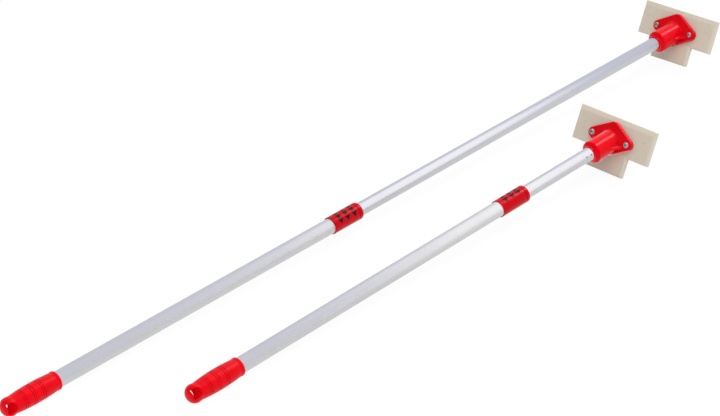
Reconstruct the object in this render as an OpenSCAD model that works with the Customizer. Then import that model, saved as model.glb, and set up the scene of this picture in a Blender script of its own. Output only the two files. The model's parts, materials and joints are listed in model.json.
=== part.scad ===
// Telescopic window cleaning poles: one drawn out, one pushed in, lying side by side.
// X runs along the poles towards the heads, Y to the left, Z up; the floor is Z = 0.
// Each pole is drawn along its own +X axis from the rim of its end grip, then laid down.

/* [Tubes] */
// Outside diameter of the outer tube
outer_d = 25; // [22:0.5:32]
// Wall of the outer tube
outer_wall = 1; // [0.8:0.1:1.5]
// Bare length of outer tube between grip and collar
outer_show = 557; // [300:1:900]
// Radial gap between the two tubes
tube_gap = 0.5; // [0.4:0.05:0.8]
// Wall of the inner tube
inner_wall = 1; // [0.8:0.1:1.5]
// Bare length of inner tube on the pole that is pushed in
short_show = 156; // [130:1:350]
// How far the pole that is pushed in could still go before it bottoms in its grip
short_left = 30.5; // [2:0.5:60]
// Distance between the two punch marks beside the socket
punch_pitch = 11; // [6:0.5:20]
// Diameter of a punch mark
punch_d = 2.6; // [1.5:0.1:4]

/* [End grip] */
// Length of the grip from rim to tip
grip_l = 100; // [95:1:140]
// Wall of the grip over the tube at its thickest place
grip_wall = 3.5; // [2.5:0.1:6]
// Radius of the barrel curve along the grip
grip_arc = 370; // [300:10:600]
// Distance from the rim to the thickest place
grip_mid = 42; // [36:1:50]
// Length of the lip at the rim
lip_l = 5; // [4:0.5:8]
// How far the lip stands out of the barrel curve
lip_h = 0.7; // [0.3:0.1:1.5]
// Radius of the lip's rounded edge
lip_round = 1.5; // [0.5:0.1:2]
// Depth to which the tube enters the grip
seat_l = 70; // [50:1:72]
// Length of the domed end, from the waist to the tip
dome_l = 19; // [16:0.5:24]
// How far the domed end swells past the waist
dome_h = 0.7; // [0.1:0.1:1]
// Corner radius of the domed end
dome_r = 12.5; // [6:0.5:13]
// Size of the hanging hole along the grip
hang_l = 14; // [10:0.5:16]
// Size of the hanging hole across the grip
hang_w = 15.6; // [10:0.2:17]
// Plastic left between the hanging hole and the tip
hang_edge = 4; // [3:0.5:9]
// Distance from the rim to the first pair of ring grooves
ring_first = 33.7; // [20:0.1:36]
// Distance between pairs of ring grooves
ring_pitch = 16.3; // [8:0.1:17]
// Distance between the two grooves of a pair
ring_gap = 2.7; // [2:0.1:4]
// Radius of a ring groove
ring_r = 0.6; // [0.3:0.05:0.9]

/* [Collar] */
// Length of the collar
collar_l = 61; // [45:1:80]
// Wall of the collar over the tube
collar_wall = 1.65; // [1.2:0.05:3]
// Length of the guide beyond the end of the outer tube
guide_l = 7; // [5:0.5:14]
// Radius of the collar's rounded outer edge
collar_round = 1.2; // [0.5:0.1:1.5]
// Width of the groove round the collar
collar_groove = 1.6; // [1:0.1:2.4]
// Distance from the collar's near end to the rolled stop bead under it
bead_in = 6; // [4:0.5:20]
// Width of the rolled stop bead
bead_w = 5; // [3:0.5:8]

/* [Twist lock] */
// Length of the plug's shank inside the inner tube
shank_l = 34; // [20:1:50]
// Wall of the plug's hollow shank
plug_wall = 2.5; // [1.5:0.1:4]
// Thickness of the plug's shoulder under the tube end
shoulder_t = 3; // [2:0.5:5]
// Diameter of the plug's eccentric journal
journal_d = 12; // [10:0.5:14]
// How far the journal stands off the pole's axis
throw = 0.5; // [0.3:0.05:0.6]
// Length of the cam ring
cam_l = 22; // [12:1:30]
// Width of the slit through the cam ring
cam_slit = 2; // [1:0.5:4]
// Thickness of the washer that keeps the cam ring on
washer_t = 1.5; // [1:0.1:2.5]
// Diameter of the washer
washer_d = 19; // [16:0.5:20]
// Thread diameter of the cam screw
cam_screw_d = 4; // [3:0.5:5]
// Length of the cam screw under its head
cam_screw_l = 24; // [16:1:32]

/* [Head socket] */
// Outside diameter of the socket at its mouth
socket_d = 37.4; // [34:0.2:44]
// Distance along the axis from the mouth to the face of the block
socket_l = 57; // [50:1:80]
// How much the socket tapers in, on the radius, towards the flange
socket_draft = 0.4; // [0:0.1:1]
// How far the nose at the mouth stands out of the socket's full width
nose_l = 7; // [4:0.5:12]
// Length of the nose's straight tip round the tube
tip_l = 3; // [1.5:0.5:3.5]
// Wall of the nose's tip round the tube
tip_wall = 1.5; // [1:0.1:3]
// Radius of the rounded edges of the nose
nose_round = 0.7; // [0.3:0.1:1]
// Depth to which the inner tube enters the socket
socket_seat = 45; // [30:1:46]
// Lean of the block's face from square to the pole
lean = 29; // [10:1:35]
// Thickness of the flange
flange_t = 8; // [4:0.5:10]
// Distance between the two flange screws
screw_pitch = 71; // [68:0.5:80]
// Radius of the flange's ends round the screws
flange_end_r = 9; // [8:0.2:13]
// Height of the flange from corner to corner
flange_h = 57; // [52:1:66]
// Radius of the flange's upper and lower corners
flange_corner_r = 12; // [6:0.5:14]
// How far the flange's middle lies above the pole's axis
flange_up = 2.5; // [-3:0.5:4]
// Thickness of the two gussets
gusset_t = 2.8; // [2:0.2:5]
// How far the gussets climb the socket from the block's face
gusset_h = 25; // [14:1:32]

/* [Flange screws] */
// Thread diameter of a flange screw
screw_d = 4; // [3:0.5:5]
// Head diameter of a flange screw
screw_head_d = 9; // [6:0.2:10]
// Head height of a flange screw
screw_head_h = 3.4; // [2:0.1:4]
// How deep a flange screw goes into the block
screw_bite = 7; // [4:0.5:7]
// Width of the cross recess in a screw head
cross_w = 1.2; // [0.8:0.1:1.6]

/* [T block] */
// Width of the block's bar
bar_w = 156; // [110:1:220]
// Height of the block's bar
bar_h = 57; // [50:1:80]
// Width of the block's stem
stem_w = 76; // [50:1:100]
// Height of the block's stem below the bar
stem_h = 33; // [20:1:60]
// Thickness of the block
block_t = 9; // [8:0.5:20]
// How far the bar's middle lies above the pole's axis
bar_up = 9; // [5:0.5:15]
// Chamfer round the block's front face
block_edge = 2.5; // [1:0.5:4]
// Width of the broad bevel along the bar's top edge
top_bevel = 7.5; // [3:0.5:12]
// Distance between the two pin marks on the bar
pin_pitch = 122; // [90:1:140]
// How far the pin marks lie above the pole's axis
pin_up = 14; // [8:1:24]
// Diameter of a pin mark
pin_d = 1.6; // [1:0.2:3]
// Depth of a pin mark
pin_deep = 1; // [0.5:0.1:2]

/* [Fits] */
// Radial gap of parts that are pressed or glued together
press_gap = 0.03; // [0.01:0.01:0.05]
// Radial gap of the guides that the inner tube slides in
slide_gap = 0.09; // [0.05:0.01:0.1]
// Radial gap between the cam ring and the outer tube's bore
cam_drag = 0.08; // [0.05:0.01:0.1]
// Radial gap between the journal and the cam ring's bore
cam_play = 0.3; // [0.25:0.01:0.4]
// Gap at the ends of the cam ring
end_play = 0.3; // [0.2:0.05:0.5]
// Radial gap round a screw in its clearance hole
screw_gap = 0.3; // [0.2:0.05:0.5]

/* [Layout] */
// Distance between the axes of the two poles
pole_pitch = 170.5; // [165:0.5:300]
// How far the short pole lies ahead of the long one
short_lead = 199.5; // [0:0.5:250]
// Roll of the long pole's head as it lies, resting on one corner of its stem
long_head_roll = -2.3; // [-10:0.1:10]
// Roll of the long pole's hanging hole from straight up
long_hang_roll = 73; // [0:1:90]
// Roll of the short pole's hanging hole from straight up
short_hang_roll = 55; // [0:1:90]
// Roll of the long pole's punch marks from the top of its head
long_punch_roll = 244; // [0:1:359]
// Roll of the short pole's punch marks from the top of its head
short_punch_roll = 64; // [0:1:359]

/* [Hidden] */
$fn = 96;
LONG = 0;
SHORT = 1;
red = [0.82, 0.03, 0.05];
alloy = [0.78, 0.79, 0.81];
bright_alloy = [0.86, 0.86, 0.88];
lock_grey = [0.24, 0.25, 0.27];
cam_white = [0.90, 0.89, 0.85];
steel = [0.70, 0.70, 0.70];
board = [0.78, 0.72, 0.65];

// Tubes
outer_r = outer_d / 2;
bore_r = outer_r - outer_wall;
inner_r = bore_r - tube_gap;
inner_bore_r = inner_r - inner_wall;
guide_r = inner_r + slide_gap;
collar_end = outer_show + collar_l;
outer_end = collar_end - guide_l;
bead_x = outer_show + bead_in;

// Twist lock, measured along the inner section from the tube's lower end
cam_top = shoulder_t + end_play;
journal_l = cam_l + 2 * end_play;
journal_r = journal_d / 2;
lock_l = shoulder_t + journal_l + washer_t;
cam_head_h = screw_head_h * cam_screw_d / screw_d;

// Lower end of each inner tube: the long pole's cam ring is up against the stop bead
tube_low = [
    bead_x - bead_w / 2 - end_play + cam_top,
    short_left - seat_l + lock_l + cam_head_h,
];
tube_show = collar_end + short_show - tube_low[SHORT];
mouth_x = [for (low = tube_low) low + tube_show];

// End grip
grip_r = outer_r + grip_wall;
waist_x = dome_l - grip_l;
ring_count = 3;
hang_round = hang_w / 2;
hang_x = hang_edge - grip_l;
hang_roll = [long_hang_roll, short_hang_roll];
punch_roll = [long_punch_roll, short_punch_roll];
head_roll = [long_head_roll, 0];

// Head: the block's face crosses the axis at socket_l, leaning back by lean
socket_r = socket_d / 2;
flange_side = screw_pitch / 2;
flange_corner = flange_h / 2 - flange_corner_r;
gusset_side = flange_side - flange_end_r / 2;
bar_low = bar_up - bar_h / 2;
bar_high = bar_up + bar_h / 2;
stem_low = bar_low - stem_h;

// A pole lies on the barrel of its grip and on the stem's lower back edge, or on one end of that edge
foot_x = [for (m = mouth_x) m + socket_l + stem_low * sin(lean) + block_t * cos(lean)];
edge_drop = block_t * sin(lean) - stem_low * cos(lean);
foot_drop = [for (roll = head_roll) edge_drop * cos(roll) + stem_w / 2 * abs(sin(roll))];
rest = [for (pole = [LONG, SHORT]) [foot_x[pole] + grip_mid, grip_arc - grip_r + foot_drop[pole]]];
pole_tilt = [for (way = rest) atan2(way[1], way[0]) - asin(grip_arc / norm(way))];
rest_z = [for (t = pole_tilt) grip_arc - (grip_arc - grip_r) * cos(t) + grip_mid * sin(t)];

// The part's middle, from the long pole's tip to the top of its block and across both blocks
top_x = mouth_x[LONG] + socket_l + bar_high * sin(lean) + block_t * cos(lean);
top_z = bar_high * cos(lean) - block_t * sin(lean);
mid_x = (top_x * cos(pole_tilt[LONG]) - top_z * sin(pole_tilt[LONG]) - grip_l * cos(pole_tilt[LONG])) / 2;
mid_y = (bar_w / 2 * (cos(long_head_roll) - 1) - top_z * sin(long_head_roll)) / 2;
base = [
    [-mid_x, pole_pitch / 2 - mid_y, rest_z[LONG]],
    [short_lead - mid_x, -pole_pitch / 2 - mid_y, rest_z[SHORT]],
];

// Points of an arc, as [radius, x] when used in a turned profile
function arc(centre, r, from, to, steps) =
    [for (i = [0:steps]) centre + r * [cos(from + (to - from) * i / steps), sin(from + (to - from) * i / steps)]];

// Radius of the grip's barrel curve at a distance x from the rim
function barrel_r(x) = grip_r - grip_arc + sqrt(grip_arc * grip_arc - pow(x + grip_mid, 2));

// The two points where a line touches circle a, then circle b, on their left
function tangent(a, ra, b, rb) =
    let (d = b - a, turn = atan2(d[1], d[0]) + acos((ra - rb) / norm(d)), side = [cos(turn), sin(turn)])
    [a + ra * side, b + rb * side];

// Lays a pole down in its place
module laid(pole) {
    translate(base[pole]) rotate([0, -pole_tilt[pole], 0]) children();
}

// Turns a profile of [radius, x] points round the pole's axis
module turned(profile) {
    rotate([0, 90, 0]) rotate_extrude() polygon(profile);
}

// A round bar from x0 to x1
module bar(r, x0, x1) {
    translate([x0, 0, 0]) rotate([0, 90, 0]) cylinder(r = r, h = x1 - x0);
}

// A tube from x0 to x1
module tube(r, bore, x0, x1) {
    difference() {
        bar(r, x0, x1);
        bar(bore, x0 - 1, x1 + 1);
    }
}

// Moves to the lower end of a pole's inner tube
module at_tube_end(pole) {
    translate([tube_low[pole], 0, 0]) children();
}

// Moves to the mouth of a pole's socket and turns with its head
module at_mouth(pole) {
    translate([mouth_x[pole], 0, 0]) rotate([head_roll[pole], 0, 0]) children();
}

// Moves from the mouth to the block's face: X up the face, Y across it, Z out of it
module on_face() {
    translate([socket_l, 0, 0]) rotate([0, lean - 90, 0]) children();
}

module hang_hole() {
    linear_extrude(3 * grip_r, center = true) {
        translate([hang_l - hang_round, 0]) circle(hang_round);
        translate([0, -hang_round]) square([hang_l - hang_round, hang_w]);
    }
}

module end_grip(pole) {
    lip_r = barrel_r(-lip_l) + lip_h;
    waist_r = barrel_r(waist_x);
    dome_top = waist_r + dome_h;
    steps = 14;
    barrel = [for (i = [0:steps]) let (x = -lip_l + (waist_x + lip_l) * i / steps) [barrel_r(x), x]];
    color(red) difference() {
        turned(concat(
            [[0, 0]],
            arc([lip_r - lip_round, -lip_round], lip_round, 90, 0, 5),
            [[lip_r, -lip_l / 2]],
            barrel,
            arc([dome_top - dome_r, dome_r - grip_l], dome_r, 0, -90, 9),
            [[0, -grip_l]]
        ));
        bar(outer_r + press_gap, -seat_l, 1);
        rotate([hang_roll[pole], 0, 0]) translate([hang_x, 0, 0]) hang_hole();
        for (pair = [0:ring_count - 1], side = [-0.5, 0.5]) {
            x = -ring_first - pair * ring_pitch + side * ring_gap;
            rotate([0, 90, 0]) rotate_extrude() translate([barrel_r(x) + ring_r / 4, x]) circle(ring_r, $fn = 24);
        }
    }
}

module outer_tube() {
    // The stop bead is rolled into the tube where the collar hides it
    depth = bore_r - guide_r;
    flat = bead_w / 5;
    bead = [[0, -bead_w / 2], [depth, -flat / 2], [depth, flat / 2], [0, bead_w / 2]];
    color(alloy) turned(concat(
        [[bore_r, -seat_l]],
        [for (b = bead) [bore_r - b[0], bead_x + b[1]]],
        [[bore_r, outer_end], [outer_r, outer_end]],
        [for (i = [3:-1:0]) [outer_r - bead[i][0], bead_x + bead[i][1]]],
        [[outer_r, -seat_l]]
    ));
}

module guide_collar() {
    r = outer_r + collar_wall;
    sleeve = outer_r + press_gap;
    half = collar_groove / 2;
    lead_in = 0.8;
    color(red) turned(concat(
        [[sleeve, outer_show], [sleeve, outer_end], [guide_r, outer_end]],
        [[guide_r, collar_end - lead_in], [guide_r + lead_in, collar_end]],
        arc([r - collar_round, collar_end - collar_round], collar_round, 90, 0, 5),
        [[r, outer_end + half], [r - half, outer_end], [r, outer_end - half]],
        [[r, outer_show + lead_in], [r - lead_in / 2, outer_show]]
    ));
}

module inner_tube(pole) {
    color(bright_alloy) difference() {
        tube(inner_r, inner_bore_r, tube_low[pole], mouth_x[pole] + socket_seat);
        for (i = [0, 1]) {
            at_mouth(pole) rotate([punch_roll[pole], 0, 0])
                translate([-punch_pitch * (i + 0.4), 0, inner_r + punch_d / 4]) sphere(d = punch_d, $fn = 32);
        }
    }
}

module lock_plug(pole) {
    color(lock_grey) at_tube_end(pole) difference() {
        union() {
            bar(inner_bore_r - press_gap, 0, shank_l);
            bar(inner_r - slide_gap, -shoulder_t, 0);
            translate([0, 0, throw]) bar(journal_r, -shoulder_t - journal_l, -shoulder_t);
        }
        bar(cam_screw_d / 2 + press_gap, -lock_l, cam_screw_l - shoulder_t - journal_l + 1);
        bar(inner_bore_r - plug_wall, shank_l / 2, shank_l + 1);
    }
}

module cam_ring(pole) {
    reach = bore_r + 1;
    color(cam_white) at_tube_end(pole) difference() {
        bar(bore_r - cam_drag, -cam_top - cam_l, -cam_top);
        translate([0, 0, throw]) bar(journal_r + cam_play, -cam_top - cam_l - 1, 1 - cam_top);
        translate([-cam_top - cam_l - 1, -cam_slit / 2, -reach]) cube([cam_l + 2, cam_slit, reach]);
    }
}

module cam_washer(pole) {
    color(steel) at_tube_end(pole)
        tube(washer_d / 2, cam_screw_d / 2 + screw_gap, -lock_l, -lock_l + washer_t);
}

module cam_screw(pole) {
    color(steel) at_tube_end(pole) translate([-lock_l, 0, 0]) mirror([1, 0, 0]) pan_screw(cam_screw_d, cam_screw_l);
}

// A pan head screw whose head sits at x = 0 and whose thread runs towards -X
module pan_screw(d, l) {
    head_r = screw_head_d / 2 * d / screw_d;
    head_h = screw_head_h * d / screw_d;
    crown = head_h * 3 / 4;
    dome = (head_r * head_r + crown * crown) / (2 * crown);
    sweep = asin(head_r / dome);
    difference() {
        turned(concat(
            [[0, -l], [d / 4, -l], [d / 2, -l + d / 2], [d / 2, 0], [head_r, 0]],
            arc([0, head_h - dome], dome, 90 - sweep, 90, 6)
        ));
        for (turn = [0, 90]) {
            rotate([turn, 0, 0]) translate([head_h / 2, -head_r / 2, -cross_w / 2]) cube([head_h, head_r, cross_w]);
        }
    }
}

module flange_outline() {
    end = [0, flange_side];
    corner = [flange_corner, 0];
    edge = tangent(end, flange_end_r, corner, flange_corner_r);
    for (turn = [0, 1], flip = [0, 1]) {
        mirror([turn, 0]) mirror([0, flip]) polygon(concat([[0, 0]], [end], edge, [corner]));
    }
    for (side = [-1, 1]) {
        translate(side * end) circle(flange_end_r);
        translate(side * corner) circle(flange_corner_r);
    }
}

module head_socket(pole) {
    past = 2 * socket_d;
    wide = 2 * bar_w;
    tip_r = inner_r + tip_wall;
    slope = atan2(socket_r - tip_r, nose_l - tip_l);
    color(red) at_mouth(pole) difference() {
        union() {
            turned(concat(
                [[0, 0]],
                arc([tip_r - nose_round, nose_round], nose_round, -90, 0, 5),
                [[tip_r, tip_l]],
                arc([socket_r - nose_round, nose_l + nose_round], nose_round, -slope, 0, 4),
                [[socket_r - socket_draft, socket_l], [socket_r - socket_draft, past], [0, past]]
            ));
            on_face() translate([flange_up, 0, 0]) linear_extrude(flange_t) flange_outline();
            for (side = [0, 1]) {
                mirror([0, side, 0]) gusset();
            }
        }
        on_face() translate([-wide / 2, -wide / 2, -wide]) cube(wide);
        bar(inner_r + press_gap, -1, socket_seat);
        on_face() flange_screw_places() cylinder(r = screw_d / 2 + screw_gap, h = 3 * flange_t, center = true);
    }
}

// One web between the socket's side and the flange, in the plane of the axis
module gusset() {
    root = socket_r - 2 * socket_draft - 1;
    foot = socket_l - flange_t / 2;
    linear_extrude(gusset_t, center = true) polygon([
        [socket_l - gusset_h, root],
        [socket_l - gusset_h, socket_r - socket_draft],
        [foot - flange_t / 2, gusset_side],
        [foot, gusset_side],
        [foot, root],
    ]);
}

module flange_screw_places() {
    for (side = [-1, 1]) {
        translate([flange_up, side * flange_side, 0]) children();
    }
}

module flange_screws(pole) {
    color(steel) at_mouth(pole) on_face() flange_screw_places()
        translate([0, 0, flange_t]) rotate([0, -90, 0]) pan_screw(screw_d, flange_t + screw_bite);
}

// A plate between two heights on the face, chamfered round its front; top is the bevel at its upper edge
module bevelled_plate(low, high, wide, top) {
    skin = 0.01;
    hull() {
        translate([low, -wide / 2, -block_t]) cube([high - low, wide, block_t - block_edge]);
        translate([low + block_edge, block_edge - wide / 2, -skin])
            cube([high - low - block_edge - top, wide - 2 * block_edge, skin]);
    }
}

module pad_block(pole) {
    color(board) at_mouth(pole) on_face() difference() {
        union() {
            bevelled_plate(bar_low, bar_high, bar_w, top_bevel);
            bevelled_plate(stem_low, bar_up, stem_w, block_edge);
        }
        flange_screw_places() translate([0, 0, -screw_bite]) cylinder(d = screw_d + 2 * press_gap, h = block_t);
        for (side = [-1, 1]) {
            translate([pin_up, side * pin_pitch / 2, -pin_deep]) cylinder(d = pin_d, h = 2 * pin_deep, $fn = 24);
        }
    }
}

laid(LONG) end_grip(LONG);  // long_end_grip
laid(LONG) outer_tube();  // long_outer_tube
laid(LONG) guide_collar();  // long_guide_collar
laid(LONG) inner_tube(LONG);  // long_inner_tube
laid(LONG) lock_plug(LONG);  // long_lock_plug
laid(LONG) cam_ring(LONG);  // long_cam_ring
laid(LONG) cam_washer(LONG);  // long_cam_washer
laid(LONG) cam_screw(LONG);  // long_cam_screw
laid(LONG) head_socket(LONG);  // long_head_socket
laid(LONG) flange_screws(LONG);  // long_flange_screws
laid(LONG) pad_block(LONG);  // long_pad_block
laid(SHORT) end_grip(SHORT);  // short_end_grip
laid(SHORT) outer_tube();  // short_outer_tube
laid(SHORT) guide_collar();  // short_guide_collar
laid(SHORT) inner_tube(SHORT);  // short_inner_tube
laid(SHORT) lock_plug(SHORT);  // short_lock_plug
laid(SHORT) cam_ring(SHORT);  // short_cam_ring
laid(SHORT) cam_washer(SHORT);  // short_cam_washer
laid(SHORT) cam_screw(SHORT);  // short_cam_screw
laid(SHORT) head_socket(SHORT);  // short_head_socket
laid(SHORT) flange_screws(SHORT);  // short_flange_screws
laid(SHORT) pad_block(SHORT);  // short_pad_block
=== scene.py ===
# %% [markdown]
# Two telescopic window cleaning poles lie on a pale table. The imported CAD model gives every rigid
# shape its place and size. This file gives the poles their finish, light and camera. We load the model
# first.

# %% Load the frame
import json
import math
from functools import partial

import bmesh
import bpy
import numpy as np
from mathutils import Matrix, Vector


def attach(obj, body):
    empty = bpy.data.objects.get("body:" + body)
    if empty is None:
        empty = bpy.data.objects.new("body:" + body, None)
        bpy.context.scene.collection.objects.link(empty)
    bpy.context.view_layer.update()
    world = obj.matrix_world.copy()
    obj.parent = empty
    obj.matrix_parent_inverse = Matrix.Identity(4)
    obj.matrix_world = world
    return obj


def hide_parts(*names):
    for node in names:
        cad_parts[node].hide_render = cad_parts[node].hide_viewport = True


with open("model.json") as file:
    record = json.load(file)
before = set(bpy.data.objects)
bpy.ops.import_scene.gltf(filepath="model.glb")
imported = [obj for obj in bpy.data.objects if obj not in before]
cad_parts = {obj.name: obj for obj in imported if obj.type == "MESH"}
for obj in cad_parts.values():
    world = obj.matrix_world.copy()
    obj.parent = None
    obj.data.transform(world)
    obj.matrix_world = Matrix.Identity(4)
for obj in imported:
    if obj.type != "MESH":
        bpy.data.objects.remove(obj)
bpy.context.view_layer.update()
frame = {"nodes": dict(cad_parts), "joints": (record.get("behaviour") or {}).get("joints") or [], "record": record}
nodes = frame["nodes"]
record = frame["record"]

# %% [markdown]
# Each pole lies a little tilted, so its pieces are easiest to build along its own axis and to lay down
# afterwards. The twist joint of a pole gives that axis, and a point on it at the inner tube's lower end.
# From these we make a matrix whose X runs along the pole and whose Z points up.

# %% The axes of the two poles
POLES = ("long", "short")
MM = 0.001
UP = Vector((0, 0, 1))


def axes(place, along, across):
    """A matrix at a place, with X along the first direction and Y along the second."""
    along = Vector(along).normalized()
    across = Vector(across).normalized()
    turn = Matrix((along, across, along.cross(across))).transposed()
    return Matrix.Translation(place) @ turn.to_4x4()


pole_axes = {}
for joint in frame["joints"]:
    pole, motion = joint["name"].split("_")
    if motion == "twist":
        pole_axes[pole] = axes(joint["pos_m"], joint["axis"], UP.cross(Vector(joint["axis"])))
print("poles:", {pole: [round(c, 3) for c in pole_axes[pole].translation] for pole in POLES})

# %% [markdown]
# A replacement piece has to sit exactly where its CAD node sits. Instead of copying numbers, we measure
# the node: its points are brought into the pole's axes, in millimetres, and give the distances along the
# pole and the radius of the piece.

# %% Measuring the CAD nodes


def points_of(node, place):
    """The points of a CAD node in the axes of a place, in millimetres."""
    mesh = nodes[node].data
    points = np.empty(3 * len(mesh.vertices))
    mesh.vertices.foreach_get("co", points)
    back = np.array(place.inverted())
    return (points.reshape(-1, 3) @ back[:3, :3].T + back[:3, 3]) / MM


def reach(node, place):
    """Where a turned node starts and ends along X, and its largest radius, in millimetres."""
    points = points_of(node, place)
    return points[:, 0].min(), points[:, 0].max(), np.hypot(points[:, 1], points[:, 2]).max()


TUBE_R = reach("long_outer_tube", pole_axes["long"])[2]
INNER_R = reach("long_inner_tube", pole_axes["long"])[2]
for pole in POLES:
    print(pole, "grip from %.1f to %.1f, radius %.2f" % reach(pole + "_end_grip", pole_axes[pole]))

# %% [markdown]
# The head of a pole leans back and may be rolled round the pole. The mount on the back of its T block
# tells both. We make two sets of axes from it: one at the socket's nose, along the pole, and one on the
# block's front face, with X up the face, Y across it and Z out of it.

# %% The axes of the two heads
socket_axes = {}
face_axes = {}
for mount in record["mounts"]:
    pole = mount["name"].split("_")[0]
    along = pole_axes[pole].to_3x3().col[0]
    out = -Vector(mount["axis"])
    across = out.cross(along).normalized()
    nose = pole_axes[pole] @ Vector((reach(pole + "_head_socket", pole_axes[pole])[0] * MM, 0, 0))
    socket_axes[pole] = axes(nose, along, across)
    block = points_of(pole + "_pad_block", axes(mount["pos_m"], out, across))
    thick = block[:, 0].max() * MM
    face_point = Vector(mount["pos_m"]) + out * thick
    crossing = nose + along * ((face_point - nose).dot(out) / along.dot(out))
    face_axes[pole] = axes(crossing, across.cross(out), across)
    print(pole, "block %.1f mm thick, %.1f mm from the nose" % (thick / MM, (crossing - nose).length / MM))

# %% [markdown]
# The photograph was taken with a long lens from above and to the right of the handles. Its place was
# found by fitting a camera to the tubes, rims and blocks. A camera looks along its own -Z, so we write
# its right, up and back directions as the columns of a rotation matrix, and then roll it a little.

# %% Camera
PHOTO_WIDTH = 720
FOCAL_PIXELS = 2833.6
CAMERA_PLACE = (-2.74448, -2.66676, 2.22959)
HEADING = (0.70088, 0.71328)
PITCH = math.radians(29.638)
ROLL = -0.03576

ahead = Vector((HEADING[0], HEADING[1], 0)).normalized()
forward = ahead * math.cos(PITCH) - UP * math.sin(PITCH)
level_right = ahead.cross(UP)
level_up = level_right.cross(forward)
right = level_right * math.cos(ROLL) + level_up * math.sin(ROLL)
upward = level_up * math.cos(ROLL) - level_right * math.sin(ROLL)

lens = bpy.data.cameras.new("photo_camera")
lens.sensor_width = 36
lens.lens = FOCAL_PIXELS / PHOTO_WIDTH * lens.sensor_width
camera = bpy.data.objects.new("photo_camera", lens)
camera_turn = Matrix((right, upward, -forward)).transposed()
camera.matrix_world = Matrix.Translation(CAMERA_PLACE) @ camera_turn.to_4x4()
bpy.context.scene.collection.objects.link(camera)
bpy.context.scene.camera = camera
print("camera lens %.1f mm" % lens.lens)

# %% [markdown]
# The table is a large white sheet. For the camera and for mirrors it mostly glows plain white, as the
# cut-out background of the photograph does, and the rest of it is a matt white that takes the shadow of
# the poles. Light Path tells the two kinds of ray apart.

# %% The white table
TABLE_HALF = 9
TABLE_GLOW = 0.94
TABLE_WHITE = (0.92, 0.92, 0.92, 1)


def link(tree, *pairs):
    """Joins each (output, input) pair of sockets."""
    for start, end in pairs:
        tree.links.new(start, end)


def calc(tree, operation, first, second=None, third=None):
    """A Math node of one operation on sockets or plain numbers; returns its output."""
    node = tree.nodes.new("ShaderNodeMath")
    node.operation = operation
    for socket, value in zip(node.inputs, (first, second, third)):
        if isinstance(value, bpy.types.NodeSocket):
            tree.links.new(value, socket)
        elif value is not None:
            socket.default_value = value
    return node.outputs[0]


def table_material():
    """Glows white for the camera and for mirrors, and takes shadows with its matt part."""
    material = bpy.data.materials.new("white_table")
    material.use_nodes = True
    tree = material.node_tree
    tree.nodes.clear()
    end = tree.nodes.new("ShaderNodeOutputMaterial")
    mix = tree.nodes.new("ShaderNodeMixShader")
    matt = tree.nodes.new("ShaderNodeBsdfDiffuse")
    matt.inputs["Color"].default_value = TABLE_WHITE
    glow = tree.nodes.new("ShaderNodeEmission")
    path = tree.nodes.new("ShaderNodeLightPath")
    seen = calc(tree, "MAXIMUM", path.outputs["Is Camera Ray"], path.outputs["Is Glossy Ray"])
    seen = calc(tree, "MAXIMUM", seen, path.outputs["Is Transmission Ray"])
    link(
        tree,
        (calc(tree, "MULTIPLY", seen, TABLE_GLOW), mix.inputs[0]),
        (matt.outputs[0], mix.inputs[1]),
        (glow.outputs[0], mix.inputs[2]),
        (mix.outputs[0], end.inputs[0]),
    )
    return material


sheet = bpy.data.meshes.new("white_table")
corners = [(x * TABLE_HALF, y * TABLE_HALF, 0) for x, y in ((-1, -1), (1, -1), (1, 1), (-1, 1))]
sheet.from_pydata(corners, [], [(0, 1, 2, 3)])
sheet.materials.append(table_material())
table = bpy.data.objects.new("white_table", sheet)
bpy.context.scene.collection.objects.link(table)
print("table:", 2 * TABLE_HALF, "m square")

# %% [markdown]
# Two helpers come back in the room and in every finish. One maps a range of values to another, as for a
# roughness that goes from 0.4 to 0.5. The other mixes two colours by such a value.

# %% Ranges and tints


def spread(tree, value, low, high, to_low=0.0, to_high=1.0):
    """Maps a value's range to another one and clamps it; returns the output."""
    node = tree.nodes.new("ShaderNodeMapRange")
    tree.links.new(value, node.inputs["Value"])
    for label, number in zip(("From Min", "From Max", "To Min", "To Max"), (low, high, to_low, to_high)):
        if isinstance(number, bpy.types.NodeSocket):
            tree.links.new(number, node.inputs[label])
        else:
            node.inputs[label].default_value = number
    return node.outputs["Result"]


def tint(tree, factor, low, high):
    """Mixes two colours by a factor; returns the colour output."""
    mix = tree.nodes.new("ShaderNodeMix")
    mix.data_type = "RGBA"
    tree.links.new(factor, mix.inputs["Factor"])
    for label, colour in (("A", low), ("B", high)):
        socket = [s for s in mix.inputs if s.name == label and s.type == "RGBA"][0]
        if isinstance(colour, bpy.types.NodeSocket):
            tree.links.new(colour, socket)
        else:
            socket.default_value = (*colour, 1)
    return [s for s in mix.outputs if s.type == "RGBA"][0]


print("helpers:", spread.__name__, "and", tint.__name__)

# %% [markdown]
# The light is that of a white studio: an even pale room that is dimmer behind the camera, with a brighter
# patch of ceiling. A room of one grey would be simpler, but metal shows only what it mirrors, and in such
# a room a tube looks flat. To the camera the room is plain white.

# %% Room light
ROOM_FAR = (0.90, 0.92, 1.05)
ROOM_NEAR = (0.60, 0.60, 0.63)
WALL_EDGE = (-0.5, 0.4)
CEILING = (0.6, 0.59, 0.55)
CEILING_WAY = (-0.40, -0.25, 0.88)
CEILING_EDGE = (0.86, 0.97)


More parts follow.
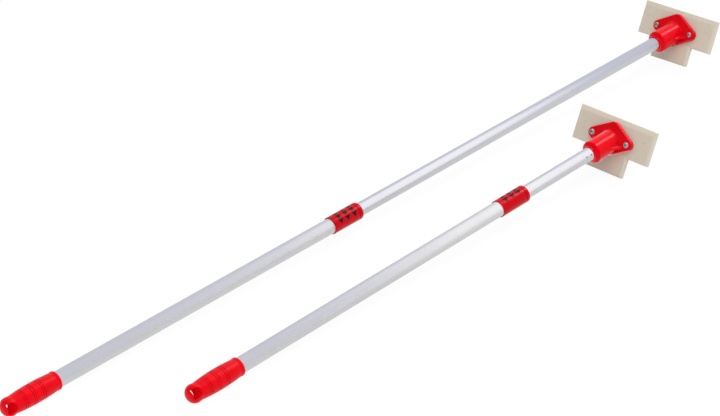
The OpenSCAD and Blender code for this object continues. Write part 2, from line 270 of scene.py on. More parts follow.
def room_light():
    """The world: pale walls and ceiling for the light, plain white for the camera."""
    world = bpy.data.worlds.new("room")
    world.use_nodes = True
    tree = world.node_tree
    dim = tree.nodes["Background"]
    white = tree.nodes.new("ShaderNodeBackground")
    white.inputs["Color"].default_value = (1, 1, 1, 1)
    path = tree.nodes.new("ShaderNodeLightPath")
    split = tree.nodes.new("ShaderNodeSeparateXYZ")
    direction = tree.nodes.new("ShaderNodeTexCoord").outputs["Generated"]
    tree.links.new(direction, split.inputs[0])
    walls = tint(tree, spread(tree, split.outputs["X"], *WALL_EDGE), ROOM_NEAR, ROOM_FAR)
    towards = tree.nodes.new("ShaderNodeVectorMath")
    towards.operation = "DOT_PRODUCT"
    towards.inputs[1].default_value = Vector(CEILING_WAY).normalized()
    tree.links.new(direction, towards.inputs[0])
    above = tint(tree, spread(tree, towards.outputs["Value"], *CEILING_EDGE), (0, 0, 0), CEILING)
    add = tree.nodes.new("ShaderNodeVectorMath")
    mix = tree.nodes.new("ShaderNodeMixShader")
    link(
        tree,
        (walls, add.inputs[0]),
        (above, add.inputs[1]),
        (add.outputs[0], dim.inputs["Color"]),
        (path.outputs["Is Camera Ray"], mix.inputs[0]),
        (dim.outputs[0], mix.inputs[1]),
        (white.outputs[0], mix.inputs[2]),
        (mix.outputs[0], tree.nodes["World Output"].inputs[0]),
    )
    return world


bpy.context.scene.world = room_light()
bpy.context.scene.view_settings.view_transform = "Standard"
print("world:", bpy.context.scene.world.name)

# %% [markdown]
# Four lamps do the rest. The tubes get a broad low panel of their own, which brightens the near part of
# the drawn inner tube and leaves its far end duller. Two soft fills, one over the grips and one over the
# heads, light the plastic, the blocks and the table. A high lamp beyond the heads puts streaks of sheen on
# the plastic. Light linking keeps each lamp to its own pieces: a lamp with a receiver collection lights
# only the objects in it.

# %% Lamps
PANEL = {"size": (0.65, 1.5), "level": 0.68, "place": (0.44, -0.31, 0.34), "tilt": 22}
GRIP_FILL = {"size": (0.8, 0.8), "level": 1.8, "place": (-1.35, -0.5, 0.65), "tilt": 30}
HEAD_FILL = {"size": (0.7, 0.7), "level": 1.7, "place": (0.40, -0.25, 0.85), "tilt": 10}
LAMP_COLOUR = (1.0, 0.97, 0.80)
SHEEN_WAY = (0.626, -0.14, 0.766)
SHEEN_LEVEL = 1.15
SHEEN_ANGLE = 14


def lamp(name, size, level, place, tilt):
    """A rectangular lamp of an even brightness level, which faces down and tilts towards +Y."""
    light = bpy.data.lights.new(name, "AREA")
    light.shape = "RECTANGLE"
    light.size, light.size_y = size
    light.energy = level * math.pi * size[0] * size[1]
    light.color = LAMP_COLOUR
    thing = bpy.data.objects.new(name, light)
    thing.location = place
    thing.rotation_euler.x = math.radians(tilt)
    thing.visible_camera = False
    bpy.context.scene.collection.objects.link(thing)
    print(name, "%.1f W" % light.energy)
    return thing


def receivers(light):
    """Limits a lamp to the objects of a new collection; returns the collection."""
    chosen = bpy.data.collections.new(light.name + "_receivers")
    light.light_linking.receiver_collection = chosen
    return chosen


panel_lit = receivers(lamp("panel", **PANEL))
fill_lit = receivers(lamp("grip_fill", **GRIP_FILL))
lamp("head_fill", **HEAD_FILL).light_linking.receiver_collection = fill_lit
sheen_beam = bpy.data.lights.new("sheen", "SUN")
sheen_beam.energy = SHEEN_LEVEL
sheen_beam.angle = math.radians(SHEEN_ANGLE)
sheen = bpy.data.objects.new("sheen", sheen_beam)
sheen.rotation_euler = Vector(SHEEN_WAY).to_track_quat("Z", "Y").to_euler()
bpy.context.scene.collection.objects.link(sheen)
sheen_lit = receivers(sheen)
for chosen in (fill_lit, sheen_lit):
    chosen.objects.link(table)
print("sheen lamp %d degrees wide" % SHEEN_ANGLE)

# %% [markdown]
# Several finishes share the same small effects, so each effect is a node group that is built once. The
# first one draws fine lines along a tube. A tube is pulled through a die when it is made, and the die
# leaves lines that run along it. A noise that is squeezed across the tube and stretched along it looks
# like that, and it has no seam, because it is sampled in space and not unrolled.

# %% Shared effect: drawn lines


def effect(name, inputs, outputs):
    """An empty node group with named inputs (name, kind, value) and outputs (name, kind)."""
    group = bpy.data.node_groups.new(name, "ShaderNodeTree")
    for label, kind, value in inputs:
        socket = group.interface.new_socket(label, in_out="INPUT", socket_type=kind)
        if value is not None:
            socket.default_value = value
    for label, kind in outputs:
        group.interface.new_socket(label, in_out="OUTPUT", socket_type=kind)
    start = group.nodes.new("NodeGroupInput")
    end = group.nodes.new("NodeGroupOutput")
    return group, start.outputs, end.inputs


def noise(tree, vector, scale, detail=3.0, roughness=0.5):
    """A noise texture on a vector; returns its value output."""
    node = tree.nodes.new("ShaderNodeTexNoise")
    node.inputs["Detail"].default_value = detail
    node.inputs["Roughness"].default_value = roughness
    tree.links.new(vector, node.inputs["Vector"])
    if isinstance(scale, bpy.types.NodeSocket):
        tree.links.new(scale, node.inputs["Scale"])
    else:
        node.inputs["Scale"].default_value = scale
    return node.outputs[0]


def drawn_lines_effect():
    """Fine lines along X, from 0 to 1."""
    group, given, result = effect(
        "drawn_lines",
        [("Vector", "NodeSocketVector", None), ("Along", "NodeSocketFloat", 6.0),
         ("Across", "NodeSocketFloat", 1500.0)],
        [("Lines", "NodeSocketFloat")],
    )
    scale = group.nodes.new("ShaderNodeCombineXYZ")
    squeeze = group.nodes.new("ShaderNodeVectorMath")
    squeeze.operation = "MULTIPLY"
    link(
        group,
        (given["Along"], scale.inputs[0]),
        (given["Across"], scale.inputs[1]),
        (given["Across"], scale.inputs[2]),
        (given["Vector"], squeeze.inputs[0]),
        (scale.outputs[0], squeeze.inputs[1]),
    )
    lines = noise(group, squeeze.outputs[0], 1.0)
    group.links.new(spread(group, lines, 0.3, 0.7), result["Lines"])
    return group


drawn_lines = drawn_lines_effect()
print("effect:", drawn_lines.name)

# %% [markdown]
# No real surface has the same gloss everywhere. Hands, cloths and the mould leave soft patches and a few
# small scuffs. This effect gives both: a slow mottle, and sparse flecks where a finer noise is highest.

# %% Shared effect: handling marks


def handling_effect():
    """A slow mottle and sparse scuffs, both from 0 to 1."""
    group, given, result = effect(
        "handling",
        [("Vector", "NodeSocketVector", None), ("Scale", "NodeSocketFloat", 30.0),
         ("Scuffs", "NodeSocketFloat", 0.62)],
        [("Mottle", "NodeSocketFloat"), ("Scuffs", "NodeSocketFloat")],
    )
    slow = noise(group, given["Vector"], given["Scale"], 4.0)
    group.links.new(spread(group, slow, 0.32, 0.68), result["Mottle"])
    fine = noise(group, given["Vector"], calc(group, "MULTIPLY", given["Scale"], 17.0), 6.0, 0.7)
    edge = calc(group, "ADD", given["Scuffs"], 0.07)
    group.links.new(spread(group, fine, given["Scuffs"], edge), result["Scuffs"])
    return group


handling = handling_effect()
print("effect:", handling.name)

# %% [markdown]
# Moulded plastic and pressed board are never optically flat. Their skin has a shallow pebble, like the
# peel of an orange, and a finer grain on it. The effect puts out a height, and each material decides
# in its own Bump node how deep that height is.

# %% Shared effect: pebbled skin


def pebble_effect():
    """The height of a pebbled skin with a finer grain on it."""
    group, given, result = effect(
        "pebble",
        [("Vector", "NodeSocketVector", None), ("Scale", "NodeSocketFloat", 350.0),
         ("Grain", "NodeSocketFloat", 0.35)],
        [("Height", "NodeSocketFloat")],
    )
    bumps = noise(group, given["Vector"], given["Scale"], 1.0)
    grain = noise(group, given["Vector"], calc(group, "MULTIPLY", given["Scale"], 6.0), 2.0)
    height = calc(group, "MULTIPLY_ADD", grain, given["Grain"], bumps)
    group.links.new(height, result["Height"])
    return group


pebble = pebble_effect()
print("effect:", pebble.name)

# %% [markdown]
# A finish starts from the same few nodes: a shader, the coordinates that its effects use, and a bump.
# Pieces that we build lie in the pole's axes already. The tubes are CAD nodes in the frame of the whole
# model, so their coordinates go through a Mapping node that undoes the pole's place and tilt.

# %% Helpers for the finishes


def finish(name, pole=None):
    """A new material: its tree, its shader and a vector along the pole."""
    material = bpy.data.materials.new(name)
    material.use_nodes = True
    tree = material.node_tree
    vector = tree.nodes.new("ShaderNodeTexCoord").outputs["Object"]
    if pole:
        mapping = tree.nodes.new("ShaderNodeMapping")
        mapping.vector_type = "TEXTURE"
        mapping.inputs["Location"].default_value = pole_axes[pole].translation
        mapping.inputs["Rotation"].default_value = pole_axes[pole].to_euler()
        tree.links.new(vector, mapping.inputs["Vector"])
        vector = mapping.outputs[0]
    return material, tree, tree.nodes["Principled BSDF"], vector


def use(tree, group, vector, **values):
    """Places an effect in a material with its own values; returns its outputs."""
    node = tree.nodes.new("ShaderNodeGroup")
    node.node_tree = group
    tree.links.new(vector, node.inputs["Vector"])
    for label, value in values.items():
        node.inputs[label].default_value = value
    return node.outputs


def emboss(tree, shader, height, depth_mm):
    """Feeds a height into the shader's Normal through a bump of a depth in millimetres."""
    bump = tree.nodes.new("ShaderNodeBump")
    bump.inputs["Strength"].default_value = 1.0
    bump.inputs["Distance"].default_value = depth_mm * MM
    link(tree, (height, bump.inputs["Height"]), (bump.outputs[0], shader.inputs["Normal"]))


print("effects to use:", [group.name for group in bpy.data.node_groups])

# %% [markdown]
# The outer tube is satin aluminium: drawn, then anodised, so it mirrors only softly. Metal takes all of
# its look from what it mirrors, so its colour is the share of light that it throws back. The lines change
# both colour and gloss a little.

# %% Satin aluminium
SATIN_TONES = ((0.625, 0.619, 0.622), (0.655, 0.649, 0.652))
SATIN_ROUGH = (0.44, 0.50)
RUBBED = 0.05


def satin_aluminium(pole):
    """Softly mirroring metal with lines along the pole."""
    material, tree, shader, vector = finish("satin_aluminium_" + pole, pole)
    lines = use(tree, drawn_lines, vector, Along=4.0, Across=900.0)["Lines"]
    marks = use(tree, handling, vector, Scale=22.0, Scuffs=0.66)
    rough = spread(tree, lines, 0, 1, *SATIN_ROUGH)
    rough = calc(tree, "MULTIPLY_ADD", marks["Mottle"], RUBBED, rough)
    shader.inputs["Metallic"].default_value = 1.0
    link(
        tree,
        (tint(tree, lines, *SATIN_TONES), shader.inputs["Base Color"]),
        (rough, shader.inputs["Roughness"]),
    )
    emboss(tree, shader, lines, depth_mm=0.002)
    return material


satin = {pole: satin_aluminium(pole) for pole in POLES}
print("satin tubes:", len(satin))

# %% [markdown]
# The inner tube slides in the outer one, so it stays bare and bright. The same lines are finer here, and
# long rub marks from the guide make some of them a little duller. The two punch marks beside the socket
# get a painted shade: the metal is painted dark within a small distance of each.

# %% Bright aluminium
PUNCH_ROLL = {"long": 244.0, "short": 64.0}
PUNCH_BEFORE = (4.4, 15.4)
PUNCH_R = 1.25
PUNCH_FADE = 1.3
# The colour of the painted shade in the punch marks.
PUNCH_SHADE = (0.17, 0.17, 0.21)
BRIGHT_TONES = ((0.55, 0.55, 0.572), (0.582, 0.582, 0.604))
BRIGHT_ROUGH = (0.27, 0.31)


def punch_distance(tree, vector, pole):
    """How far a point of the tube is from the nearer punch mark."""
    turn = math.radians(PUNCH_ROLL[pole])
    nearest = 1.0
    for before in PUNCH_BEFORE:
        punch = Vector((-before, -INNER_R * math.sin(turn), INNER_R * math.cos(turn))) * MM
        away = tree.nodes.new("ShaderNodeVectorMath")
        away.operation = "DISTANCE"
        away.inputs[1].default_value = pole_axes[pole].inverted() @ socket_axes[pole] @ punch
        tree.links.new(vector, away.inputs[0])
        nearest = calc(tree, "MINIMUM", away.outputs["Value"], nearest)
    return nearest


def bright_aluminium(pole):
    """Bare metal with finer lines and painted shade in two punch marks."""
    material, tree, shader, vector = finish("bright_aluminium_" + pole, pole)
    lines = use(tree, drawn_lines, vector, Along=2.5, Across=1400.0)["Lines"]
    marks = use(tree, handling, vector, Scale=16.0, Scuffs=0.66)
    metal = tint(tree, lines, *BRIGHT_TONES)
    # Painted shade: the metal is painted dark within the punch radius and fades out a little beyond it.
    shade_reach = PUNCH_FADE * PUNCH_R * MM
    punch_shade = spread(tree, punch_distance(tree, vector, pole), PUNCH_R * MM, shade_reach, 1.0, 0.0)
    rough = spread(tree, lines, 0, 1, *BRIGHT_ROUGH)
    rough = calc(tree, "MULTIPLY_ADD", marks["Mottle"], RUBBED, rough)
    shader.inputs["Metallic"].default_value = 1.0
    link(
        tree,
        (tint(tree, punch_shade, metal, PUNCH_SHADE), shader.inputs["Base Color"]),
        (rough, shader.inputs["Roughness"]),
    )
    emboss(tree, shader, lines, depth_mm=0.001)
    return material


bright = {pole: bright_aluminium(pole) for pole in POLES}
print("bright tubes:", len(bright))

# %% [markdown]
# Grip, collar and socket are moulded in the same glossy red plastic. The skin has a very shallow pebble
# that breaks up its highlights, and the gloss changes where hands have been. The grips are the dullest.
# A tinted reflection keeps the red clean under the white light of the room.

# %% Red plastic
RED_DEEP = (0.60, 0.0, 0.004)
RED_BRIGHT = (0.68, 0.002, 0.008)
RED_SHEEN = (1.0, 0.14, 0.17, 1)
RED_SPECULAR = 0.22
HANDLED = 0.07
SCUFFED = 0.12
SOCKET_GLOSS = 0.21
GRIP_GLOSS = 0.38


def red_nodes(name, gloss, shade=1.0):
    """A red finish, darkened as painted shade where shade is below 1; returns its material, tree, shader, vector
    and colour.
    """
    material, tree, shader, vector = finish(name)
    marks = use(tree, handling, vector, Scale=45.0, Scuffs=0.64)
    # A shade below 1 darkens the red, as painted shade.
    colour = tint(tree, marks["Mottle"], *(Vector(tone) * shade for tone in (RED_DEEP, RED_BRIGHT)))
    rough = spread(tree, marks["Mottle"], 0, 1, gloss, gloss + HANDLED)
    rough = calc(tree, "MULTIPLY_ADD", marks["Scuffs"], SCUFFED, rough)
    shader.inputs["Specular IOR Level"].default_value = RED_SPECULAR
    shader.inputs["Specular Tint"].default_value = RED_SHEEN
    link(tree, (colour, shader.inputs["Base Color"]), (rough, shader.inputs["Roughness"]))
    height = use(tree, pebble, vector, Scale=420.0, Grain=0.2)["Height"]
    emboss(tree, shader, height, depth_mm=0.02)
    return material, tree, shader, vector, colour


red = red_nodes("red_plastic", SOCKET_GLOSS)[0]
grip_red = red_nodes("grip_red", GRIP_GLOSS)[0]
print("red finishes:", red.name, grip_red.name)

# %% [markdown]
# The wall of the hanging hole is the core of the moulding. It never gets the polish of the mould's outer
# faces, so it is matt. Its red is painted lighter than the grip's, a painted light that keeps it full red
# although the hole is shaded.

# %% Red core
# A lighter red than the grip's red: painted light that keeps the shaded hole full red.
CORE_PAINTED_LIGHT_TONES = ((0.74, 0.002, 0.009), (0.84, 0.003, 0.012))
CORE_ROUGH = (0.5, 0.65)


def red_core():
    """A matt red, painted lighter than the grip's red, that mirrors nothing."""
    material, tree, shader, vector = finish("red_core")
    marks = use(tree, handling, vector, Scale=90.0)
    link(
        tree,
        (tint(tree, marks["Mottle"], *CORE_PAINTED_LIGHT_TONES), shader.inputs["Base Color"]),
        (spread(tree, marks["Mottle"], 0, 1, *CORE_ROUGH), shader.inputs["Roughness"]),
    )
    shader.inputs["Specular IOR Level"].default_value = 0.0
    emboss(tree, shader, use(tree, pebble, vector, Scale=600.0)["Height"], depth_mm=0.03)
    return material


core = red_core()
print("finish:", core.name)

# %% [markdown]
# The collar is the same red darkened by a painted shade, and carries black printed marks that show which
# way the lock turns. They are drawn as three plain arrows that run round it, each with a shaft of two dashes.
# The position along the pole and the angle round it are cut into equal cells. Ink is where the distance from
# an arrow's middle line is less than its width there, and the width comes from the angle.

# %% Red plastic with printed arrows
MARK_COUNT = 3
MARK_START = 7.0
MARK_PITCH = 14.5
MARK_FIRST_ANGLE = {"long": -27.0, "short": -62.0}
MARK_ANGLE_PITCH = 34.5
DASH_LENGTH = 0.78
DASH_HALF = 0.26
HEAD_HALF = 0.42
INK = (0.012, 0.008, 0.012)
COLLAR_GLOSS = 0.26
# The collar's red is darkened by this factor, a painted shade.
COLLAR_PAINTED_SHADE = 0.74


def printed_red(pole):
    """The collar's red, darkened by a painted shade, with three arrows of ink."""
    material, tree, shader, vector, colour = red_nodes("printed_red_" + pole, COLLAR_GLOSS, COLLAR_PAINTED_SHADE)
    collar_start = reach(pole + "_guide_collar", pole_axes[pole])[0]
    split = tree.nodes.new("ShaderNodeSeparateXYZ")
    tree.links.new(vector, split.inputs[0])
    x, y, z = split.outputs
    angle = calc(tree, "ARCTAN2", calc(tree, "MULTIPLY", y, -1.0), z)
    along = calc(tree, "DIVIDE", calc(tree, "SUBTRACT", x, (collar_start + MARK_START) * MM), MARK_PITCH * MM)
    first = math.radians(MARK_FIRST_ANGLE[pole])
    around = calc(tree, "DIVIDE", calc(tree, "SUBTRACT", angle, first), math.radians(MARK_ANGLE_PITCH))
    inside = 1.0
    for cell in (along, around):
        inside = calc(tree, "MULTIPLY", calc(tree, "GREATER_THAN", cell, 0.0), inside)
        inside = calc(tree, "MULTIPLY", calc(tree, "LESS_THAN", cell, float(MARK_COUNT)), inside)
    aside = calc(tree, "ABSOLUTE", calc(tree, "SUBTRACT", calc(tree, "FRACT", along), 0.5))
    ahead_in_cell = calc(tree, "FRACT", around)
    dash = calc(tree, "MULTIPLY", calc(tree, "LESS_THAN", ahead_in_cell, DASH_LENGTH), DASH_HALF)
    head = calc(tree, "MULTIPLY", calc(tree, "SUBTRACT", 1.0, ahead_in_cell), HEAD_HALF)
    is_head = calc(tree, "GREATER_THAN", around, MARK_COUNT - 1.0)
    width = spread(tree, is_head, 0.0, 1.0, dash, head)
    ink = calc(tree, "MULTIPLY", calc(tree, "LESS_THAN", aside, width), inside)
    tree.links.new(tint(tree, ink, colour, INK), shader.inputs["Base Color"])
    return material


printed = {pole: printed_red(pole) for pole in POLES}
print("printed arrows:", MARK_COUNT, "on each collar")

# %% [markdown]
# The T block is a hard beige sheet, perhaps a filled plastic. Close up it is full of fine darker and
# lighter specks. Two noises at about one millimetre and at a third of that give them.

# %% Speckled board
BOARD_TONES = ((0.56, 0.505, 0.412), (0.597, 0.544, 0.449))
BOARD_SPECK = (0.42, 0.34, 0.27)
SPECK_SHARE = 0.2
BOARD_SPECULAR = 0.35
BOARD_ROUGH = (0.52, 0.64)


def speckled_board():
    """A dull beige with coarse and fine specks."""
    material, tree, shader, vector = finish("speckled_board")
    marks = use(tree, handling, vector, Scale=25.0, Scuffs=0.6)
    coarse = spread(tree, noise(tree, vector, 900.0, detail=2.0), 0.38, 0.62)
    fine = spread(tree, noise(tree, vector, 2600.0, detail=2.0), 0.45, 0.72)
    colour = tint(tree, coarse, *BOARD_TONES)
    colour = tint(tree, calc(tree, "MULTIPLY", fine, SPECK_SHARE), colour, BOARD_SPECK)
    rough = spread(tree, marks["Mottle"], 0, 1, *BOARD_ROUGH)
    shader.inputs["Specular IOR Level"].default_value = BOARD_SPECULAR
    link(tree, (colour, shader.inputs["Base Color"]), (rough, shader.inputs["Roughness"]))
    emboss(tree, shader, use(tree, pebble, vector, Scale=900.0, Grain=0.5)["Height"], depth_mm=0.05)
    return material


board = speckled_board()
print("finish:", board.name)

# %% [markdown]
# The screws and the washer are zinc plated steel. The plating is a cool grey metal with cloudy patches,
# rougher than a mirror, so that a small round head shows one soft highlight.

# %% Zinc plate
ZINC_TONES = ((0.33, 0.33, 0.34), (0.45, 0.45, 0.47))
ZINC_ROUGH = (0.34, 0.46)


def zinc_plate():
    """Cloudy grey plating."""
    material, tree, shader, vector = finish("zinc_plate")
    marks = use(tree, handling, vector, Scale=300.0, Scuffs=0.6)
    shader.inputs["Metallic"].default_value = 1.0
    link(
        tree,
        (tint(tree, marks["Mottle"], *ZINC_TONES), shader.inputs["Base Color"]),
        (spread(tree, marks["Mottle"], 0, 1, *ZINC_ROUGH), shader.inputs["Roughness"]),
    )
    emboss(tree, shader, use(tree, pebble, vector, Scale=1500.0)["Height"], depth_mm=0.01)
    return material


zinc = zinc_plate()
print("finish:", zinc.name)

# %% [markdown]
# Inside the tubes sit the dark plug and the pale slit ring of the lock. They show only when the pole is
# taken apart, but they get a finish of their own: a dull dark plastic and a waxy natural one.

# %% Lock plastics
PLUG_TONES = ((0.030, 0.030, 0.034), (0.050, 0.050, 0.055))
PLUG_GLOSS = 0.45
CAM_RING_TONES = ((0.62, 0.60, 0.54), (0.70, 0.68, 0.62))
CAM_RING_GLOSS = 0.35
LOCK_WORN = 0.12


def lock_plastic(name, tones, gloss):
    """A plastic of two tones whose roughness starts at gloss."""
    material, tree, shader, vector = finish(name)
    marks = use(tree, handling, vector, Scale=120.0, Scuffs=0.6)
    link(
        tree,
        (tint(tree, marks["Mottle"], *tones), shader.inputs["Base Color"]),
        (spread(tree, marks["Mottle"], 0, 1, gloss, gloss + LOCK_WORN), shader.inputs["Roughness"]),
    )
    emboss(tree, shader, use(tree, pebble, vector, Scale=500.0)["Height"], depth_mm=0.03)
    return material


plug_plastic = lock_plastic("plug_plastic", PLUG_TONES, PLUG_GLOSS)
ring_plastic = lock_plastic("ring_plastic", CAM_RING_TONES, CAM_RING_GLOSS)
print("lock finishes:", plug_plastic.name, ring_plastic.name)

# %% [markdown]
# The CAD nodes that stay get their finishes now: the two tubes and the four pieces of the lock inside
# each pole. The tubes also join the pieces that the panel lights.

# %% Finishes on the CAD nodes


def dress(node, material):
    """Gives a CAD node one material."""
    mesh = nodes[node].data
    mesh.materials.clear()
    mesh.materials.append(material)


for pole in POLES:
    dress(pole + "_outer_tube", satin[pole])
    dress(pole + "_inner_tube", bright[pole])
    dress(pole + "_lock_plug", plug_plastic)
    dress(pole + "_cam_ring", ring_plastic)
    dress(pole + "_cam_washer", zinc)
    dress(pole + "_cam_screw", zinc)
    for tube in ("_outer_tube", "_inner_tube"):
        panel_lit.objects.link(nodes[pole + tube])
print("materials:", len(bpy.data.materials))

# %% [markdown]
# The turned pieces, grip, collar and screws, come from one helper: an outline of (distance, radius)
# points is spun round the X axis. An outline that starts and ends on the axis makes a solid body, any
# other one is closed into a ring.

# %% A turned mesh
TURN_STEPS = 96


def closed(form, name):
    """A mesh from a closed form, with all its faces turned outwards."""
    bmesh.ops.recalc_face_normals(form, faces=form.faces)
    if form.calc_volume(signed=True) < 0:
        bmesh.ops.reverse_faces(form, faces=form.faces)
    mesh = bpy.data.meshes.new(name)
    form.to_mesh(mesh)
    form.free()
    return mesh


def turned(name, outline, steps=TURN_STEPS):
    """A mesh turned round X from (along, radius) points in millimetres."""
    form = bmesh.new()
    points = [form.verts.new((x * MM, 0, r * MM)) for x, r in outline]
    edges = [form.edges.new(pair) for pair in zip(points, points[1:])]
    if outline[0][1] > 0:
        edges.append(form.edges.new((points[-1], points[0])))
    bmesh.ops.spin(
        form, geom=points + edges, cent=(0, 0, 0), axis=(1, 0, 0), angle=math.tau, steps=steps, use_merge=True
    )
    bmesh.ops.remove_doubles(form, verts=form.verts, dist=1e-7)
    return closed(form, name)


def arc(centre, radius, start, end, steps):
    """Points of an arc between two angles in degrees."""
    angles = np.radians(np.linspace(start, end, steps + 1))
    return [(centre[0] + radius * math.cos(a), centre[1] + radius * math.sin(a)) for a in angles]


def smooth(mesh, angle=32):
    """Smooth shading that keeps edges sharper than an angle."""
    mesh.polygons.foreach_set("use_smooth", [True] * len(mesh.polygons))
    mesh.set_sharp_from_angle(angle=math.radians(angle))


print("turned pieces get", TURN_STEPS, "steps")

# %% [markdown]
# A finished mesh becomes a piece: an object that lies in its place, rides on a body of the model and
# stands for one CAD node, which is then hidden. It also joins the pieces that the sheen lights and, unless
# it is steel, those that the fills light. The short pole's coloured pieces are kept out of mirror rays, so
# that the long tube beside them stays clean of red.

# %% Laying a piece in its place
UNMIRRORED = ("short_grip", "short_collar", "short_socket", "short_block")


def put(name, mesh, place, body, node, slot):
    """Lays a finished mesh in its place as a piece that stands for a CAD node."""
    piece = bpy.data.objects.new(name, mesh)
    piece.matrix_world = place
    bpy.context.scene.collection.objects.link(piece)
    bpy.context.view_layer.update()
    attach(piece, body)
    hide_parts(node)
    piece.visible_glossy = name not in UNMIRRORED
    sheen_lit.objects.link(piece)
    if slot != "steel":
        fill_lit.objects.link(piece)
    print(name, len(mesh.polygons), "faces")
    return piece


print("kept out of mirror rays:", len(UNMIRRORED), "pieces")

# %% [markdown]
# The grip is a long barrel with a raised lip at its rim, three pairs of fine grooves, a shallow waist
# and a domed end. We write its radius as one formula of the distance from the rim, so that lip and waist
# run softly into the barrel, and take more samples where the grooves are.

# %% The outline of a grip
GRIP_ARC = 370.0
GRIP_MID = 42.0
LIP_LENGTH = 5.0
LIP_HEIGHT = 0.7
LIP_ROUND = 1.5
DOME_LENGTH = 19.0
DOME_SWELL = 0.7
DOME_RADIUS = 12.5
RING_FIRST = 33.7
RING_PITCH = 16.3
RING_GAP = 3.9
RING_DEPTH = 0.85
RING_HALF = 0.65
RINGS = [RING_FIRST + pair * RING_PITCH + side * RING_GAP / 2 for pair in range(3) for side in (-1, 1)]
BARREL_SAMPLES = 60
RING_SAMPLES = 9
FIT = 0.03

grip_start, grip_rim, GRIP_R = reach("long_end_grip", pole_axes["long"])
GRIP_LENGTH = grip_rim - grip_start
SEAT = grip_rim - reach("long_outer_tube", pole_axes["long"])[0]
WAIST = GRIP_LENGTH - DOME_LENGTH
DOME_START = GRIP_LENGTH - DOME_RADIUS


def ease(value):
    """A soft step from 0 to 1."""
    value = np.clip(value, 0, 1)
    return value * value * (3 - 2 * value)


def barrel_radius(d):
    """The radius of the plain barrel, a shallow arc, at a distance from the rim."""
    return GRIP_R - GRIP_ARC + np.sqrt(GRIP_ARC**2 - (d - GRIP_MID) ** 2)


def grip_radius(d):
    """The grip's outer radius at a distance from its rim."""
    d = np.asarray(d, dtype=float)
    radius = barrel_radius(np.minimum(d, WAIST))
    lip = barrel_radius(LIP_LENGTH) + LIP_HEIGHT - radius
    radius = radius + lip * (1 - ease((d - LIP_LENGTH / 2) / LIP_LENGTH))
    radius = radius + DOME_SWELL * ease((d - WAIST) / (DOME_START - WAIST))
    for ring in RINGS:
        radius = radius - RING_DEPTH * np.clip(1 - ((d - ring) / RING_HALF) ** 2, 0, 1)
    beyond = np.clip(d - DOME_START, 0, DOME_RADIUS)
    return radius - DOME_RADIUS + np.sqrt(DOME_RADIUS**2 - beyond**2)


def grip_outline():
    """The outline from the floor of the seat round the rim and along the skin to the tip."""
    coarse = np.linspace(LIP_ROUND, DOME_START, BARREL_SAMPLES)
    fine = np.concatenate([ring + RING_HALF * np.linspace(-1, 1, RING_SAMPLES) for ring in RINGS])
    lip_r = float(grip_radius(LIP_ROUND))
    dome_top = float(grip_radius(DOME_START))
    bore = TUBE_R + FIT
    outline = [(-SEAT, 0), (-SEAT, bore), (-LIP_ROUND / 3, bore), (0, bore + LIP_ROUND / 3)]
    outline += [(x - LIP_ROUND, r + lip_r - LIP_ROUND) for x, r in arc((0, 0), LIP_ROUND, 0, 90, 6)][:-1]
    outline += [(-d, float(grip_radius(d))) for d in sorted([*coarse, *fine])]
    dome = arc((0, 0), DOME_RADIUS, 0, 90, 18)[1:]
    outline += [(-DOME_START - x, dome_top - DOME_RADIUS + r) for r, x in dome]
    return outline + [(-GRIP_LENGTH, 0)]


print("grip %.1f mm long, seat %.1f mm" % (GRIP_LENGTH, SEAT))

# %% [markdown]
# The hanging hole is D-shaped: straight towards the tip and round towards the hand. Its edges are well
# rounded. We make one cutter for a Boolean: rings of the D outline stacked through the grip, which grow
# where they come near the surface. Where the flare meets the surface the edge is round.

# %% The cutter of the hanging hole
HANG_LENGTH = 14.6
HANG_WIDTH = 15.6
HANG_EDGE = 3.6
HANG_CORNER = 1.6
HANG_ROUND = 1.3
HANG_ROLL = {"long": 73.0, "short": 55.0}


def hang_outline():
    """Points of the D as (distance from the rim, across) with their outward directions."""
    half = HANG_WIDTH / 2
    tip = GRIP_LENGTH - HANG_EDGE
    middle = tip - HANG_LENGTH + half
    points = []
    for centre, radius, start, end, steps in (
        ((tip - HANG_CORNER, half - HANG_CORNER), HANG_CORNER, 0, 90, 6),
        ((middle, 0), half, 90, 270, 36),
        ((tip - HANG_CORNER, HANG_CORNER - half), HANG_CORNER, 270, 360, 6),
    ):
        around = arc(centre, radius, start, end, steps)
        points += [(p, ((p[0] - centre[0]) / radius, (p[1] - centre[1]) / radius)) for p in around]
    straight = np.linspace(HANG_CORNER - half, half - HANG_CORNER, 9)[1:-1]
    return points + [((tip, float(y)), (1.0, 0.0)) for y in straight]


def surface_height(d, across):
    """How far the grip's skin is from the hole's middle plane."""
    return math.sqrt(max(float(grip_radius(min(d, GRIP_LENGTH))) ** 2 - across**2, 0.01))


def hang_cutter():
    """Rings of the D, stacked through the grip; its wall between the flares has the second material."""
    outline = hang_outline()
    above = [(HANG_ROUND, 2 * GRIP_R)]
    for turn in np.radians(np.linspace(90, 0, 7)):
        above.append((HANG_ROUND * (1 - math.cos(turn)), -HANG_ROUND * (1 - math.sin(turn))))
    layers = [(grow, rise, 1) for grow, rise in above] + [(grow, rise, -1) for grow, rise in reversed(above)]
    form = bmesh.new()
    rings = []
    for grow, rise, side in layers:
        ring = []
        for (d, y), (nd, ny) in outline:
            place = (d + grow * nd, y + grow * ny)
            z = side * (surface_height(*place) + rise)
            ring.append(form.verts.new((-place[0] * MM, place[1] * MM, z * MM)))
        rings.append(ring)
    wall = len(above) - 1
    for index, (upper, lower) in enumerate(zip(rings, rings[1:])):
        for i in range(len(outline)):
            j = (i + 1) % len(outline)
            face = form.faces.new((upper[i], upper[j], lower[j], lower[i]))
            face.material_index = 1 if index == wall else 0
    form.faces.new(rings[0])
    form.faces.new(rings[-1])
    return closed(form, "hang_cutter")


print("cutter outline:", len(hang_outline()), "points")

# %% [markdown]
# With outline and cutter the two grips are short work. A Boolean modifier cuts the hole, and we keep its
# result as a plain mesh. The wall of the hole takes the core's material from the cutter.

# %% The grips


